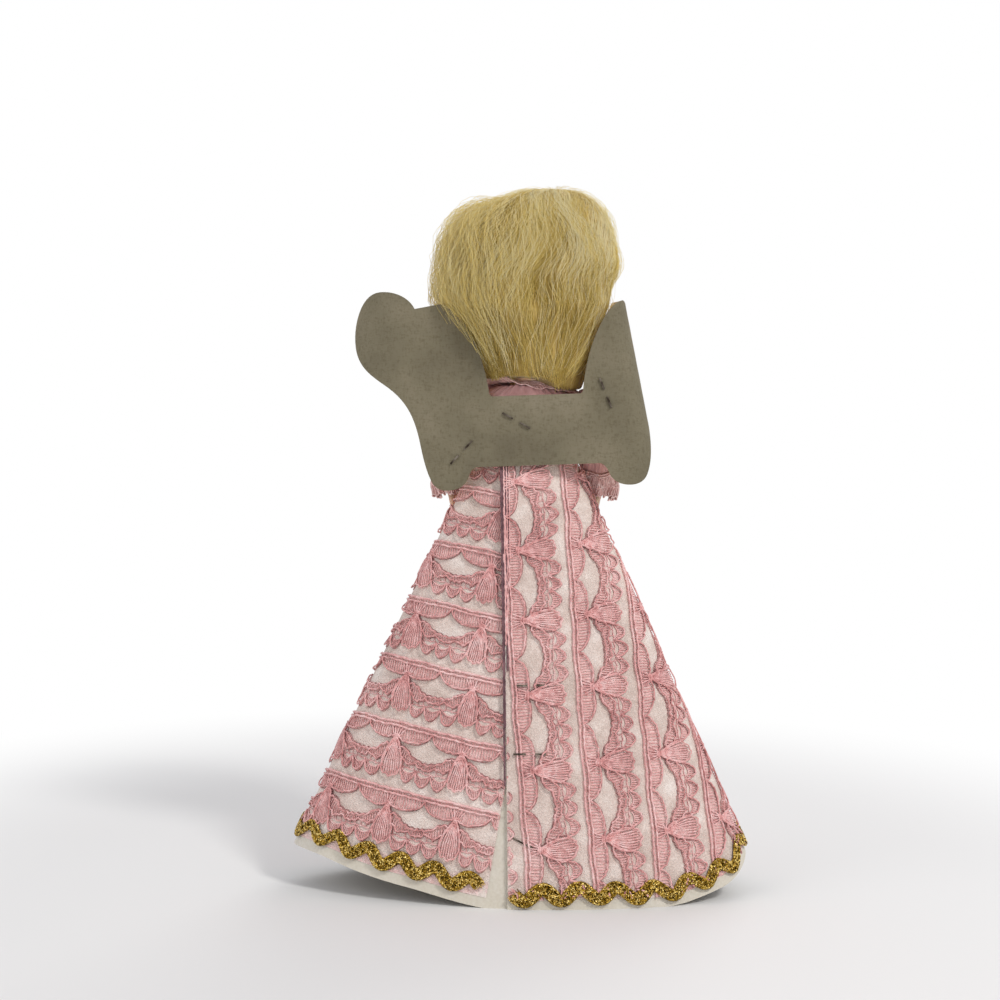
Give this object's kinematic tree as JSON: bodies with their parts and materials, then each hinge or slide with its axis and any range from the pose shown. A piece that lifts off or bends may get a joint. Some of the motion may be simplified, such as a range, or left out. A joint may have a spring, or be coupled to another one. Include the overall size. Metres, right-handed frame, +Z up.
{
  "type": "celluloid angel doll",
  "caption": "Angel doll for the top of a tree: lace-covered card cone skirt, celluloid torso, turning head and arms, hair wig and stapled card wings.",
  "frame": {"origin": "middle of the box round the doll, on the surface its skirt stands on", "axes": "+Z up the doll, its face towards -Y, its own left hand towards +X"},
  "size_m": [0.184, 0.0768, 0.2833],
  "materials": {
    "white_card": "matt white card",
    "pink_lace": "dusty pink cotton lace",
    "gold_braid": "metallic gold braid",
    "staple_steel": "dulled steel wire",
    "celluloid": "satin flesh celluloid",
    "pink_cloth": "dusty pink cotton cloth",
    "turned_wood": "bare turned wood",
    "blonde_mohair": "fuzzy blonde mohair",
    "iron_wire": "dull iron wire",
    "grey_chipboard": "bare grey chipboard",
    "gilt_paper": "gilt paper"
  },
  "bodies": {
    "doll_body": {"skirt_card": "white_card", "lace_cover": "pink_lace", "hem_rickrack": "gold_braid", "seam_staple_top": "staple_steel", "seam_staple_middle": "staple_steel", "seam_staple_bottom": "staple_steel", "torso_shell": "celluloid", "bodice_cloth": "pink_cloth", "collar_lace": "pink_lace", "neck_plug": "turned_wood", "arm_wire": "iron_wire", "wing_board": "grey_chipboard", "wing_facing": "gilt_paper", "wing_staple_centre": "staple_steel", "wing_staple_left": "staple_steel", "wing_staple_right": "staple_steel"},
    "head": {"head_shell": "celluloid", "hair_wig": "blonde_mohair"},
    "left_arm": {"left_arm": "celluloid", "left_sleeve": "pink_cloth", "left_cuff_lace": "pink_lace"},
    "right_arm": {"right_arm": "celluloid", "right_sleeve": "pink_cloth", "right_cuff_lace": "pink_lace"}
  },
  "joints": [
    {"name": "head_turn", "type": "hinge", "parent": "doll_body", "child": "head", "pos_m": [0, 0, 0.2043], "axis": [0, 0, 1], "range_deg": [-60, 60]},
    {"name": "left_arm_swing", "type": "hinge", "parent": "doll_body", "child": "left_arm", "pos_m": [0.0206, 0, 0.192], "axis": [-1, 0, 0], "range_deg": [0, 90]},
    {"name": "right_arm_swing", "type": "hinge", "parent": "doll_body", "child": "right_arm", "pos_m": [-0.0206, 0, 0.192], "axis": [-1, 0, 0], "range_deg": [0, 90]}
  ]
}
